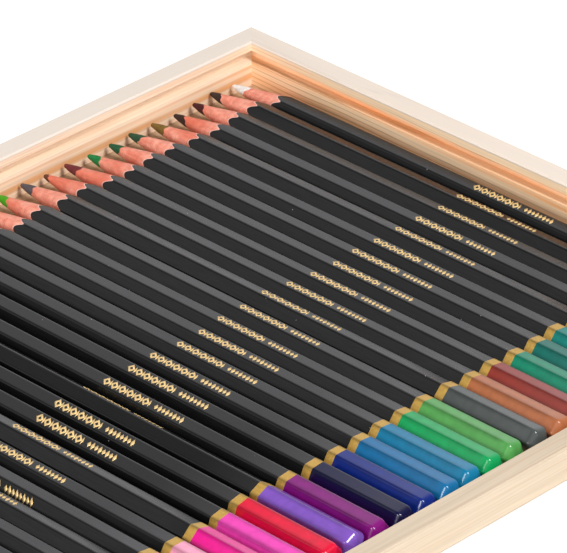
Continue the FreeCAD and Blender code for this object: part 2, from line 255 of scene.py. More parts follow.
def planed_pine(name, along_y, pith, spacing, pale, late, lines,
                bands=None, rim=None, wander_mm=3, lean=0.0):
    """Bare planed pine, satin and faintly waxy. pith is what is added across the board and upwards, in
    mm, so that the ring centre comes to zero: its second number is how deep the centre lies under the
    box. spacing is the ring width in mm, lines how strongly the thin brown lines of late wood show.
    bands are (height in mm, ruddiness as a grey hex) pairs, and without them every ring has one band.
    rim is the two heights in mm between which the top edge is mixed towards pale grey, a painted
    sheen for light glancing off it, wander_mm how far the pith strays, and lean how many degrees a
    side wall's grain runs off its length."""
    material, tree, output = blank_material(name)
    coordinates = add(tree, "ShaderNodeTexCoord")
    place = coordinates.outputs["Object"]
    turn = math.radians(-90) if along_y else 0.0
    board = add(tree, "ShaderNodeMapping", inputs={
        "Vector": place, "Scale": (1000, 1000, 1000), "Rotation": (math.radians(lean), 0, turn),
        "Location": (0, pith[0], pith[1])}).outputs[0]

    # the pith wanders by a millimetre or more, in bends about 80 mm long
    slow = add(tree, "ShaderNodeVectorMath", operation="MULTIPLY", inputs={
        0: board, 1: (0.012, 0.03, 0.03)})
    wander = add(tree, "ShaderNodeTexNoise", inputs={
        "Vector": slow.outputs[0], "Scale": 1.0, "Detail": 2.0})
    even = add(tree, "ShaderNodeVectorMath", operation="SUBTRACT", inputs={
        0: wander.outputs["Color"], 1: (0.5, 0.5, 0.5)})
    bent = add(tree, "ShaderNodeVectorMath", operation="MULTIPLY_ADD", inputs={
        0: even.outputs[0], 1: (0, wander_mm, wander_mm), 2: board})
    flat = add(tree, "ShaderNodeVectorMath", operation="MULTIPLY", inputs={
        0: bent.outputs[0], 1: (0, 1, 1)})
    far = add(tree, "ShaderNodeVectorMath", operation="LENGTH", inputs={0: flat.outputs[0]})
    ring = add(tree, "ShaderNodeMath", operation="DIVIDE", inputs={0: far.outputs["Value"], 1: spacing})
    season = add(tree, "ShaderNodeMath", operation="FRACT", inputs={0: ring.outputs[0]})
    if bands:
        layer = add(tree, "ShaderNodeMapRange", inputs={
            "Value": far.outputs["Value"], "From Min": pith[1], "From Max": pith[1] + BAND_REACH})
        lateness = add(tree, "ShaderNodeValToRGB", inputs={"Fac": layer.outputs[0]},
                       stops=[(level / BAND_REACH, grey) for level, grey in bands])
    else:
        lateness = add(tree, "ShaderNodeValToRGB", inputs={"Fac": season.outputs[0]}, stops=[
            (0.0, "#000000"), (0.28, "#000000"), (0.56, "#E6E6E6"), (0.74, "#FFFFFF"),
            (1.0, "#000000")])

    # how ruddy the late wood is changes over 60 mm along the board and 5 mm across it
    broad = add(tree, "ShaderNodeVectorMath", operation="MULTIPLY", inputs={
        0: bent.outputs[0], 1: (0.016, 0.20, 0.20)})
    band = add(tree, "ShaderNodeTexNoise", inputs={
        "Vector": broad.outputs[0], "Scale": 1.0, "Detail": 2.0})
    blush = add(tree, "ShaderNodeMapRange", inputs={
        "Value": band.outputs["Fac"], "From Min": 0.36, "From Max": 0.62,
        "To Min": 0.45, "To Max": 1.15})
    tint = add(tree, "ShaderNodeMath", operation="MULTIPLY", inputs={
        0: lateness.outputs["Color"], 1: blush.outputs[0]})
    rings = add(tree, "ShaderNodeMix", data_type="RGBA", inputs={
        FACTOR: tint.outputs[0], COLOUR_A: linear(pale), COLOUR_B: linear(late)})

    # thin brown lines, one to a ring, that come and go over 50 mm along the board and 2 mm across it
    thread = add(tree, "ShaderNodeValToRGB", inputs={"Fac": season.outputs[0]}, stops=[
        (0.0, "#000000"), (0.62, "#000000"), (0.80, "#FFFFFF"), (0.90, "#000000")])
    patch = add(tree, "ShaderNodeVectorMath", operation="MULTIPLY", inputs={
        0: bent.outputs[0], 1: (0.02, 0.5, 0.5)})
    fade = add(tree, "ShaderNodeTexNoise", inputs={
        "Vector": patch.outputs[0], "Scale": 1.0, "Detail": 0.0})
    seen = add(tree, "ShaderNodeMapRange", inputs={
        "Value": fade.outputs["Fac"], "From Min": 0.40, "From Max": 0.60,
        "To Min": 0.1 * lines, "To Max": lines})
    drawn = add(tree, "ShaderNodeMath", operation="MULTIPLY", inputs={
        0: thread.outputs["Color"], 1: seen.outputs[0]})
    lined = add(tree, "ShaderNodeMix", data_type="RGBA", inputs={
        FACTOR: drawn.outputs[0], COLOUR_A: rings.outputs[COLOUR_RESULT], COLOUR_B: linear("#B4804E")})

    # fibres: the real ones are 0.03 mm by 3 mm, and are drawn 0.4 mm by 30 mm so that they show
    thin = add(tree, "ShaderNodeVectorMath", operation="MULTIPLY", inputs={
        0: board, 1: (0.035, 2.4, 2.4)})
    fibre = add(tree, "ShaderNodeTexNoise", inputs={
        "Vector": thin.outputs[0], "Scale": 1.0, "Detail": 3.0})
    shade = add(tree, "ShaderNodeMapRange", inputs={
        "Value": fibre.outputs["Fac"], "From Min": 0.30, "From Max": 0.70,
        "To Min": 0.88, "To Max": 1.07})

    # a sawn end drinks light between its open fibres, so it is darker than the long faces
    facing = add(tree, "ShaderNodeVectorMath", operation="DOT_PRODUCT", inputs={
        0: coordinates.outputs["Normal"], 1: (0, 1, 0) if along_y else (1, 0, 0)})
    squarely = add(tree, "ShaderNodeMath", operation="ABSOLUTE", inputs={0: facing.outputs["Value"]})
    sawn = add(tree, "ShaderNodeMapRange", inputs={
        "Value": squarely.outputs[0], "From Min": 0.80, "From Max": 0.95,
        "To Min": 1.0, "To Max": 0.60})
    cover = add(tree, "ShaderNodeMath", operation="MULTIPLY", inputs={
        0: shade.outputs[0], 1: sawn.outputs[0]})
    wood = add(tree, "ShaderNodeVectorMath", operation="SCALE", inputs={
        0: lined.outputs[COLOUR_RESULT], "Scale": cover.outputs[0]}).outputs[0]
    # painted sheen: the top edge is mixed towards pale grey, standing in for light glancing off it
    if rim:
        level = add(tree, "ShaderNodeSeparateXYZ", inputs={0: place}).outputs["Z"]
        edge = add(tree, "ShaderNodeMapRange", inputs={
            "Value": level, "From Min": rim[0] * MM, "From Max": rim[1] * MM,
            "To Min": 0.0, "To Max": 0.85})
        wood = add(tree, "ShaderNodeMix", data_type="RGBA", inputs={
            FACTOR: edge.outputs[0], COLOUR_A: wood, COLOUR_B: linear("#D6CCC2")})
        wood = wood.outputs[COLOUR_RESULT]
    relief = add(tree, "ShaderNodeBump", inputs={
        "Height": fibre.outputs["Fac"], "Strength": 0.25, "Distance": 0.03 * MM})
    skin = add(tree, "ShaderNodeBsdfPrincipled", inputs={
        "Base Color": wood, "Roughness": 0.52, "IOR": 1.5, "Normal": relief.outputs[0]})
    tree.links.new(skin.outputs[0], output.inputs["Surface"])
    return material


# heights in millimetres over the table; between the two rim heights the top edge gets its painted sheen
RIM_SHEEN = (14.55, 14.95)
# back wall: the rings, with nearly no ruddiness from 9.2 to 12.4 mm, so that the groove is painted
# pale, as painted light reaching in under its lip
BACK_RINGS_AND_PAINTED_LIGHT = [
    (0, "#707070"), (3.4, "#909090"), (4.4, "#606060"), (5.5, "#F8F8F8"),
    (6.5, "#E0E0E0"), (7.3, "#606060"), (8.6, "#E8E8E8"), (9.2, "#202020"),
    (12.4, "#181818"), (13.2, "#A8A8A8"), (13.8, "#585858"), (14.6, "#888888"),
]
# side walls: the rings, with painted shade as well: an orange band from 9.3 to 10.4 mm along the
# groove's ledge under the lip, and a warmer wall low down where the pencils shade it
SIDE_RINGS_AND_PAINTED_SHADE = [
    (0, "#B8B8B8"), (3.0, "#9C9C9C"), (6.0, "#B4B4B4"), (7.6, "#707070"),
    (8.7, "#7C7C7C"), (9.3, "#E0E0E0"), (10.4, "#A0A0A0"), (12.7, "#686868"),
    (13.3, "#383838"), (14.4, "#484848"), (15.2, "#707070"),
]
FRONT_BANDS = [
    (0, "#606060"), (2.4, "#E0E0E0"), (4.0, "#404040"),
    (6.0, "#909090"), (8.0, "#303030"), (9.3, "#808080"),
]
boards = {
    "back_wall": planed_pine(
        "planed_pine_back", along_y=False, pith=(-96, 54.3), spacing=2.3,
        pale="#F5DFC6", late="#E0A066", lines=0.22, bands=BACK_RINGS_AND_PAINTED_LIGHT, rim=RIM_SHEEN),
    "right_wall": planed_pine(
        "planed_pine_right", along_y=True, pith=(150, 53.0), spacing=1.4,
        pale="#FFE2BE", late="#FFAE66", lines=0.78, bands=SIDE_RINGS_AND_PAINTED_SHADE, rim=RIM_SHEEN, wander_mm=7, lean=-0.45),
    "left_wall": planed_pine(
        "planed_pine_left", along_y=True, pith=(-140, 52.0), spacing=1.5,
        pale="#CDB598", late="#C0946A", lines=0.4, bands=SIDE_RINGS_AND_PAINTED_SHADE, rim=RIM_SHEEN),
    "front_wall": planed_pine(
        "planed_pine_front", along_y=False, pith=(150, 40.0), spacing=2.3,
        pale="#C3B29C", late="#B59D7E", lines=0.22, bands=FRONT_BANDS),
    "floor_panel": planed_pine(
        "sliced_basswood", along_y=False, pith=(5, 40), spacing=3.4,
        pale="#B99C7F", late="#A98867", lines=0.12),
}
for name, material in boards.items():
    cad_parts[name].data.materials.clear()
    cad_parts[name].data.materials.append(material)
print("boards finished:", sorted(boards))

# %% [markdown]
# ## The finishes of a pencil
#
# **Satin black lacquer** is a dielectric: dark under its surface, and mirror-like at a low angle.
# Its look comes from roughness and from what surrounds it, so the colour itself can be plain. A few
# specks of dust lie on it, as they do on any black thing that a camera comes close to.

# %% Black lacquer
def black_lacquer():
    """Nitrocellulose lacquer, satin, streaked along the pencil by the die that it is pulled through.
    The streaks are 0.4 mm wide and 6 mm long, and there is a small speck of dust every 6 mm."""
    material, tree, output = blank_material("satin_black_lacquer")
    place = add(tree, "ShaderNodeTexCoord").outputs["Object"]
    along = add(tree, "ShaderNodeMapping", inputs={
        "Vector": place, "Scale": (2500, 160, 2500)}).outputs[0]
    grain = add(tree, "ShaderNodeTexNoise", inputs={"Vector": along, "Scale": 1.0, "Detail": 2.0})
    cell = add(tree, "ShaderNodeTexVoronoi", inputs={"Vector": place, "Scale": 170.0})
    speck = add(tree, "ShaderNodeMapRange", inputs={
        "Value": cell.outputs["Distance"], "From Min": 0.030, "From Max": 0.018,
        "To Min": 0.0, "To Max": 1.0})
    colour = add(tree, "ShaderNodeMix", data_type="RGBA", inputs={
        FACTOR: speck.outputs[0], COLOUR_A: linear("#0C0C0D"), COLOUR_B: linear("#8E8C88")})
    patchy = add(tree, "ShaderNodeMapRange", inputs={
        "Value": grain.outputs["Fac"], "From Min": 0.3, "From Max": 0.7,
        "To Min": 0.18, "To Max": 0.28})
    relief = add(tree, "ShaderNodeBump", inputs={
        "Height": grain.outputs["Fac"], "Strength": 0.05, "Distance": 0.02 * MM})
    skin = add(tree, "ShaderNodeBsdfPrincipled", inputs={
        "Base Color": colour.outputs[COLOUR_RESULT], "Roughness": patchy.outputs[0], "IOR": 1.42,
        "Normal": relief.outputs[0]})
    tree.links.new(skin.outputs[0], output.inputs["Surface"])
    return material


BLACK = black_lacquer()
print(BLACK.name, "has", len(BLACK.node_tree.nodes), "nodes")

# %% [markdown]
# ** Dipped lacquer** is the same stuff with a pigment, thicker and glossier, because the end is
# dunked and left to flow out. How near a point is to an edge comes from an attribute that the mesh
# carries, and both finishes below darken towards the edges with it: a painted dark line of shade and
# reflection. **Gold foil** is a metallised film under a yellow varnish, pressed into a lacquer that is
# not quite smooth: part mirror and part paint, so it is only partly metallic, and its side flats,
# which mirror the dark part of the tent, still show yellow.

# %% Dipped colour and gold
GLOSS_WHITE = 0.018                # how much white the gloss adds to every colour, taken off first


def dipped_lacquer(name, colour):
    """Thick coloured lacquer that has flowed smooth: IOR 1.52, glossy, with swells 2.4 mm wide. A
    dark line is painted along each of the six edges: a painted reflection of the dim tent, which
    the rounded edges mirror."""
    material, tree, output = blank_material("dipped_lacquer_" + name)
    place = add(tree, "ShaderNodeTexCoord").outputs["Object"]
    flow = add(tree, "ShaderNodeTexNoise", inputs={"Vector": place, "Scale": 420.0, "Detail": 1.0})
    shade = add(tree, "ShaderNodeMapRange", inputs={
        "Value": flow.outputs["Fac"], "From Min": 0.3, "From Max": 0.7, "To Min": 0.88, "To Max": 1.02})
    # painted reflection: the colour darkens to 0.52 towards each long edge, a painted dark line for the
    # dim tent that the rounded edges mirror
    edge = add(tree, "ShaderNodeAttribute", attribute_name="edge")
    thin = add(tree, "ShaderNodeMapRange", inputs={
        "Value": edge.outputs["Fac"], "To Min": 1.0, "To Max": 0.52})
    cover = add(tree, "ShaderNodeMath", operation="MULTIPLY", inputs={
        0: shade.outputs[0], 1: thin.outputs[0]})
    deep = [max(channel - GLOSS_WHITE, 0.002) for channel in linear(colour)[:3]]
    tone = add(tree, "ShaderNodeVectorMath", operation="SCALE", inputs={
        0: deep, "Scale": cover.outputs[0]})
    relief = add(tree, "ShaderNodeBump", inputs={
        "Height": flow.outputs["Fac"], "Strength": 0.10, "Distance": 0.05 * MM})
    skin = add(tree, "ShaderNodeBsdfPrincipled", inputs={
        "Base Color": tone.outputs[0], "Roughness": 0.22, "IOR": 1.52, "Normal": relief.outputs[0]})
    tree.links.new(skin.outputs[0], output.inputs["Surface"])
    return material


def gold_foil(name, colour, roughness):
    """Hot-stamped foil: a metal film pressed into the lacquer, grained by it every 0.6 mm, and
    darker along the ridges of the hexagon, where a line of shade is painted."""
    material, tree, output = blank_material(name)
    place = add(tree, "ShaderNodeTexCoord").outputs["Object"]
    grain = add(tree, "ShaderNodeTexNoise", inputs={"Vector": place, "Scale": 1600.0, "Detail": 2.0})
    patchy = add(tree, "ShaderNodeMapRange", inputs={
        "Value": grain.outputs["Fac"], "From Min": 0.3, "From Max": 0.7,
        "To Min": roughness - 0.06, "To Max": roughness + 0.08})
    shade = add(tree, "ShaderNodeMapRange", inputs={
        "Value": grain.outputs["Fac"], "From Min": 0.3, "From Max": 0.7,
        "To Min": 0.86, "To Max": 1.08})
    # painted shade: the foil darkens to 0.45 towards the ridges of the hexagon, a painted dark line
    # along each
    edge = add(tree, "ShaderNodeAttribute", attribute_name="edge")
    worn = add(tree, "ShaderNodeMapRange", inputs={
        "Value": edge.outputs["Fac"], "From Min": 0.3, "To Min": 1.0, "To Max": 0.45})
    cover = add(tree, "ShaderNodeMath", operation="MULTIPLY", inputs={
        0: shade.outputs[0], 1: worn.outputs[0]})
    tone = add(tree, "ShaderNodeVectorMath", operation="SCALE", inputs={
        0: linear(colour)[:3], "Scale": cover.outputs[0]})
    relief = add(tree, "ShaderNodeBump", inputs={
        "Height": grain.outputs["Fac"], "Strength": 0.2, "Distance": 0.03 * MM})
    skin = add(tree, "ShaderNodeBsdfPrincipled", inputs={
        "Base Color": tone.outputs[0], "Metallic": 0.35, "Roughness": patchy.outputs[0],
        "Normal": relief.outputs[0]})
    tree.links.new(skin.outputs[0], output.inputs["Surface"])
    return material


BAND_GOLD = gold_foil("gold_foil_band", "#BF9848", 0.42)
MARK_GOLD = gold_foil("gold_foil_stamp", "#EBC98A", 0.50)
print("gold:", BAND_GOLD.name, MARK_GOLD.name)

# %% [markdown]
# **Sharpened wood** is bare and dry. Under the lacquer is a thin chalky primer, which shows as a
# pale line wherever the cutter has gone through it. The **core** is pigment in wax, soft and a little
# shiny, and the cutter leaves faint rings round it.

# %% Wood, primer and core
def sharpened_wood():
    """Incense cedar, stained pink. The tone drifts over 1.6 mm, and from one pencil to the next,
    because each came from its own slat. The knife leaves ripples 0.7 mm apart across the grain and
    tears short fibres along it, drawn 0.4 mm wide so that they show."""
    material, tree, output = blank_material("sharpened_cedar")
    place = add(tree, "ShaderNodeTexCoord").outputs["Object"]
    drift = add(tree, "ShaderNodeTexNoise", inputs={"Vector": place, "Scale": 620.0, "Detail": 2.0})
    tone = add(tree, "ShaderNodeValToRGB", inputs={"Fac": drift.outputs["Fac"]}, stops=[
        (0.25, "#EFA893"), (0.50, "#E6937D"), (0.75, "#DC7A65")])
    slat = add(tree, "ShaderNodeTexNoise", inputs={"Vector": place, "Scale": 85.0, "Detail": 0.0})
    redder = add(tree, "ShaderNodeMapRange", inputs={
        "Value": slat.outputs["Fac"], "From Min": 0.50, "From Max": 0.70,
        "To Min": 0.0, "To Max": 0.75})
    tone = add(tree, "ShaderNodeMix", data_type="RGBA", inputs={
        FACTOR: redder.outputs[0], COLOUR_A: tone.outputs["Color"], COLOUR_B: linear("#D9694E")})
    along = add(tree, "ShaderNodeMapping", inputs={
        "Vector": place, "Scale": (2300, 300, 2300)}).outputs[0]
    fibre = add(tree, "ShaderNodeTexNoise", inputs={"Vector": along, "Scale": 1.0, "Detail": 3.0})
    ripple = add(tree, "ShaderNodeTexWave", bands_direction="Y", inputs={
        "Vector": place, "Scale": 450.0, "Distortion": 3.0, "Detail": 2.0, "Detail Scale": 2.0})
    rough = add(tree, "ShaderNodeMath", operation="MULTIPLY_ADD", inputs={
        0: ripple.outputs["Fac"], 1: 0.35, 2: fibre.outputs["Fac"]})
    shade = add(tree, "ShaderNodeMapRange", inputs={
        "Value": rough.outputs[0], "From Min": 0.42, "From Max": 0.90, "To Min": 0.80, "To Max": 1.12})
    wood = add(tree, "ShaderNodeVectorMath", operation="SCALE", inputs={
        0: tone.outputs[COLOUR_RESULT], "Scale": shade.outputs[0]})
    relief = add(tree, "ShaderNodeBump", inputs={
        "Height": rough.outputs[0], "Strength": 0.4, "Distance": 0.05 * MM})
    skin = add(tree, "ShaderNodeBsdfPrincipled", inputs={
        "Base Color": wood.outputs[0], "Roughness": 0.6, "IOR": 1.45, "Normal": relief.outputs[0]})
    tree.links.new(skin.outputs[0], output.inputs["Surface"])
    return material


def chalky_primer():
    """The pale undercoat, matt and mottled every 0.7 mm."""
    material, tree, output = blank_material("chalk_primer")
    place = add(tree, "ShaderNodeTexCoord").outputs["Object"]
    mottle = add(tree, "ShaderNodeTexNoise", inputs={"Vector": place, "Scale": 1500.0})
    tone = add(tree, "ShaderNodeValToRGB", inputs={"Fac": mottle.outputs["Fac"]}, stops=[
        (0.3, "#E6B5A7"), (0.7, "#F4D3C8")])
    skin = add(tree, "ShaderNodeBsdfPrincipled", inputs={
        "Base Color": tone.outputs["Color"], "Roughness": 0.8})
    tree.links.new(skin.outputs[0], output.inputs["Surface"])
    return material


def pigment_core(name, colour):
    """Wax and pigment: soft sheen, mottled every 0.9 mm, with cutter rings 0.4 mm apart."""
    material, tree, output = blank_material("pigment_core_" + name)
    place = add(tree, "ShaderNodeTexCoord").outputs["Object"]
    turned = add(tree, "ShaderNodeTexWave", bands_direction="Y", inputs={
        "Vector": place, "Scale": 780.0, "Distortion": 2.0, "Detail": 1.0})
    mottle = add(tree, "ShaderNodeTexNoise", inputs={"Vector": place, "Scale": 1100.0, "Detail": 2.0})
    shade = add(tree, "ShaderNodeMapRange", inputs={
        "Value": mottle.outputs["Fac"], "From Min": 0.3, "From Max": 0.7,
        "To Min": 0.68, "To Max": 0.88})
    tone = add(tree, "ShaderNodeVectorMath", operation="SCALE", inputs={
        0: linear(colour)[:3], "Scale": shade.outputs[0]})
    relief = add(tree, "ShaderNodeBump", inputs={
        "Height": turned.outputs["Fac"], "Strength": 0.25, "Distance": 0.03 * MM})
    skin = add(tree, "ShaderNodeBsdfPrincipled", inputs={
        "Base Color": tone.outputs[0], "Roughness": 0.5, "IOR": 1.33, "Normal": relief.outputs[0]})
    tree.links.new(skin.outputs[0], output.inputs["Surface"])
    return material


CEDAR, PRIMER = sharpened_wood(), chalky_primer()
print("wood:", CEDAR.name, PRIMER.name)

# %% [markdown]
# ## The colour set
#
# Each pencil has a dipped end and a core of nearly the same colour. The list runs from the right
# wall to the left wall.

# %% Colours, from the right wall
COLOURS = [
    # name, dipped end, core
    ("white", "#D8D6D2", "#FFFDFA"), ("ink", "#1D1B1C", "#3A2D29"),
    ("bordeaux", "#43161D", "#4A1B21"), ("umber", "#33201B", "#382624"),
    ("olive", "#6C5924", "#80662F"), ("lagoon", "#157A72", "#24523B"),
    ("spruce", "#1D6A60", "#1C6140"), ("viridian", "#0F8165", "#118747"),
    ("wine", "#8A3D36", "#763137"), ("tan", "#A86746", "#693F2D"),
    ("graphite", "#4F5352", "#5A575F"), ("leaf", "#559752", "#4AAC1A"),
    ("emerald", "#129959", "#19AA58"), ("sky", "#0A7598", "#2790C6"),
    ("azure", "#166997", "#0D70AD"), ("indigo", "#243376", "#2F3A8E"),
    ("midnight", "#1C1640", "#1D1650"), ("plum", "#7A1670", "#861F81"),
    ("violet", "#7955AD", "#7458B8"), ("coral", "#D01C3F", "#D83E53"),
    ("orchid", "#DA48A6", "#DC5EB4"), ("rose", "#D62A86", "#D42E86"),
    ("blush", "#E398B2", "#E5A2B9"), ("peach", "#DE9679", "#E09E85"),
    ("sand", "#D3AE88", "#D6B592"), ("lemon", "#DCD23C", "#E0D74C"),
    ("yellow", "#DFC01A", "#E2C62A"), ("amber", "#DA9A16", "#DDA024"),
    ("orange", "#D46B16", "#D87324"), ("tangerine", "#CF4A16", "#D25322"),
    ("vermilion", "#C42C1B", "#C83626"), ("scarlet", "#AE171F", "#B3202A"),
    ("ochre", "#A5741E", "#A87B2A"), ("sienna", "#8A401C", "#8E4826"),
    ("mint", "#6DB58F", "#78BA9A"), ("lilac", "#A287C4", "#A98FC9"),
]
print(len(COLOURS), "colours for", len(pencil_nodes), "pencils")

# %% [markdown]
# ## Where each pencil lies
#
# No pencil lies quite flat: each has rolled a few degrees, and slid a little. The measured model
# knows this, so it is asked. A pencil's axis runs through the middle of its box, and the widest face
# that looks upwards is its top flat, whose tilt is the roll.

# %% Read a pencil's lie
Lie = namedtuple("Lie", "x end z length roll")     # millimetres, and the roll in radians
STEEPEST = 30.5                                    # degrees: a flat that tilts more isn't the top one


def lie_of(node):
    """Where a pencil lies, from the box of its node and from its flats: x and z of its axis, y of its
    dipped end, its length and its roll."""
    low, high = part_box(node)
    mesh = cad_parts[node].data
    normals, areas = np.zeros(3 * len(mesh.polygons)), np.zeros(len(mesh.polygons))
    mesh.polygons.foreach_get("normal", normals)
    mesh.polygons.foreach_get("area", areas)
    normals = normals.reshape(-1, 3)
    upward = (np.abs(normals[:, 1]) < 0.01) & (normals[:, 2] > math.cos(math.radians(STEEPEST)))
    flat = normals[np.argmax(np.where(upward, areas, 0.0))]
    roll = math.atan2(-flat[0], flat[2])
    middle = (low + high) / 2 / MM
    return Lie(middle.x, low.y / MM, middle.z, (high.y - low.y) / MM, roll)


lies = {node: lie_of(node) for node in pencil_nodes}
print("rolls in degrees:", [round(math.degrees(lie.roll)) for lie in lies.values()])

# %% [markdown]
# ## The section of a pencil
#
# A pencil is a hexagon with rounded edges. The outline is written once as points round the axis:
# six arcs, one at each corner, joined by six flats. Points crowd near the ends of each flat, so that
# the shading bends over the rounded edge only and the flat stays flat.

# %% Rounded hexagon
FLATS = 6.75                       # millimetres across the flats
EDGE = 0.8                         # radius of the six long edges
POINT = 0.5                        # radius that the cone runs down to at the tip
CONE = 16.6                        # from the tip to where the cone reaches the flats
ARC_STEPS = 5                      # quads round each long edge
FLAT_STOPS = (0.06, 0.2, 0.35, 0.5, 0.65, 0.8, 0.94)      # shares of a flat's width


def rounded_hexagon():
    """Points of the section. Corner k is an arc of radius EDGE round a centre at 60k degrees, at the
    distance (FLATS / 2 - EDGE) / cos 30 from the axis. A flat runs straight from arc to arc."""
    centre = (FLATS / 2 - EDGE) / math.cos(math.radians(30))
    corner = np.radians(60.0) * np.arange(6)[:, None]
    sweep = corner + np.radians(np.linspace(-30, 30, ARC_STEPS + 1))[None, :]
    x = centre * np.cos(corner) + EDGE * np.cos(sweep)
    z = centre * np.sin(corner) + EDGE * np.sin(sweep)
    arcs = np.stack([x, z], axis=-1)
    leave, reach = arcs[:, -1], np.roll(arcs[:, 0], -1, axis=0)
    t = np.array(FLAT_STOPS)[None, :, None]
    flats = leave[:, None, :] * (1 - t) + reach[:, None, :] * t
    return np.concatenate([arcs, flats], axis=1).reshape(-1, 2)


section = rounded_hexagon()

# how near each point is to a long edge, which sets the painted dark lines along the edges:
# 1 in the middle of an arc, 0.6 at its ends, 0 on the flat
on_arc = 0.6 + 0.4 * np.cos(3 * np.radians(np.linspace(-30, 30, ARC_STEPS + 1))) ** 2
on_flat = [0.50, 0.12, 0, 0, 0, 0.12, 0.50]
near_edge = np.tile(np.concatenate([on_arc, on_flat]), 6)

angle = np.arctan2(section[:, 1], section[:, 0])
radius = np.hypot(section[:, 0], section[:, 1])
print("section has", len(section), "points, and a radius of", radius.min().round(3), "to",
      radius.max().round(3), "mm")

# %% [markdown]
# ## From rings to a surface
#
# Every round piece here is a stack of closed rings along Y, each with the same number of points.
# Two neighbouring rings give one band of quads, and a fan of triangles closes each end, so a piece
# has no open seam. The faces are listed so that their normals look outwards.

# %% Skin a stack of rings
def skin_rings(rings, bottom, top):
    """Vertices and faces of a closed surface. rings is (rows, points, 3); bottom and top are the
    closing points. Face (i, j) joins points j and j + 1 of rings i and i + 1, wrapping round."""
    rows, count = rings.shape[:2]
    vertices = np.concatenate([rings.reshape(-1, 3), [bottom, top]])
    i, j = np.meshgrid(np.arange(rows - 1), np.arange(count), indexing="ij")
    k = (j + 1) % count
    quads = np.stack([i * count + j, (i + 1) * count + j, (i + 1) * count + k, i * count + k], axis=-1)
    here, after = np.arange(count), (np.arange(count) + 1) % count
    start = np.stack([np.full(count, rows * count), here, after], axis=-1)
    last = (rows - 1) * count
    end = np.stack([np.full(count, rows * count + 1), last + after, last + here], axis=-1)
    return vertices, quads.reshape(-1, 4).tolist() + start.tolist() + end.tolist()


def lay_down(vertices, lie):
    """Turn local points (x across, y along, z up) by the roll about Y, and move them to the axis."""
    c, s = math.cos(lie.roll), math.sin(lie.roll)
    x, y, z = vertices.T
    return np.stack([lie.x + x * c - z * s, lie.end + y, lie.z + x * s + z * c], axis=1) * MM


def make_piece(name, vertices, faces, materials, face_materials=None, body=None, sharp_rings=()):
    """A smooth-shaded mesh object that rides on a body. sharp_rings are ranges of vertices whose own
    edges stay crisp."""
    mesh = bpy.data.meshes.new(name)
    mesh.from_pydata(vertices.tolist(), [], faces)
    for material in materials:
        mesh.materials.append(material)
    if face_materials is not None:
        mesh.polygons.foreach_set("material_index", np.asarray(face_materials, np.int32))
    mesh.shade_smooth()
    if sharp_rings:
        ends = np.zeros(2 * len(mesh.edges), np.int64)
        mesh.edges.foreach_get("vertices", ends)
        ends = ends.reshape(-1, 2)
        crisp = np.zeros(len(ends), bool)
        for first, last in sharp_rings:
            crisp |= ((ends >= first) & (ends < last)).all(axis=1)
        mesh.attributes.new("sharp_edge", "BOOLEAN", "EDGE").data.foreach_set("value", crisp)
    mesh.update()
    piece = bpy.data.objects.new(name, mesh)
    bpy.context.scene.collection.objects.link(piece)
    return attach(piece, body)


print("a band of the section has", len(section), "quads")

# %% [markdown]
# ## The casing
#
# One surface runs from the dipped end to the wood. Along it the finish changes from ring to ring:
# dipped lacquer, gold band, black lacquer, a hair of primer, then bare wood. The scalloped edge is
# no special effect. A cone meets a hexagon nearer the point where the hexagon is thin, in the middle
# of a flat, and further back at its corners; solving for that place on each line along the pencil
# draws the scallops by itself.

# %% Casing rings
DIPPED, GOLD, LACQUER, UNDERCOAT, WOOD = range(5)
DIP, BAND = 28.75, 31.15           # where the dipped colour ends and where the gold band ends
STEP = 0.06                        # how soon the band's edge rises to its thickness
FOIL = 0.015                       # thickness of the gold
ROUND_END, SQUARENESS = 2.4, 2.4   # length of the rounded end, and the power of its profile
# the dark lines along the edges are painted reflection and painted shade
FIRST_EDGE, FULL_EDGE = 1.5, 5.5   # where the dark lines along the edges begin and are at full depth
END_TURNS = (9, 20, 31, 42, 53, 63, 72, 81)       # degrees: rings of the rounded end
CUT_BEND = ((1.0, 0.0), (0.45, 0.015), (0.15, 0.06))      # behind the cut, and sunk under the lacquer
CUT_EDGE = 0.12                    # how much the lacquer's cut edge has worn back
CUT_SHARES = (0, 0.025, 0.3, 0.6, 0.85, 1)        # rings of the cut, from the lacquer to the mouth
SLANT = (0.63, 0.78)               # across and up: the way in which the sharpener cuts unevenly
TEAR = 0.25                        # ripple of the torn edge of the wood
THINNEST, WIDEST = 0.62, 1.95      # the wood's mouth stays between these radii
BORE_DEPTH, BORE_FIT = 1.6, 0.98   # how far the casing lines the bore, and how it narrows there
WHOLE = 178.0                      # a whole pencil, for the printed measures


def on_cone(length, r, cone=CONE):
    """Distance along the pencil at which a cone that reaches the flats in that length has radius r."""
    return length - (r - POINT) * cone / (FLATS / 2 - POINT)


def straight_ring(y, swell=0.0):
    """The section at distance y, swollen outwards by a film's thickness."""
    grow = 1 + swell / radius
    along = np.broadcast_to(y, radius.shape)
    return np.stack([section[:, 0] * grow, along, section[:, 1] * grow], axis=1)


def wood_line(cone, bare):
    """Radius of the wood's end on each line along the pencil. bare is how many mm of core show above
    and below, seen along SLANT; between them it goes as a cosine, with a ripple of TEAR, because the
    cutter tears the last of the wood."""
    above, below = bare
    towards = SLANT[0] * np.cos(angle) + SLANT[1] * np.sin(angle)
    shown = (above + below) / 2 + (above - below) / 2 * towards + TEAR * np.sin(5 * angle + 7 * above)
    return np.clip(POINT + shown * (FLATS / 2 - POINT) / cone, THINNEST, WIDEST)


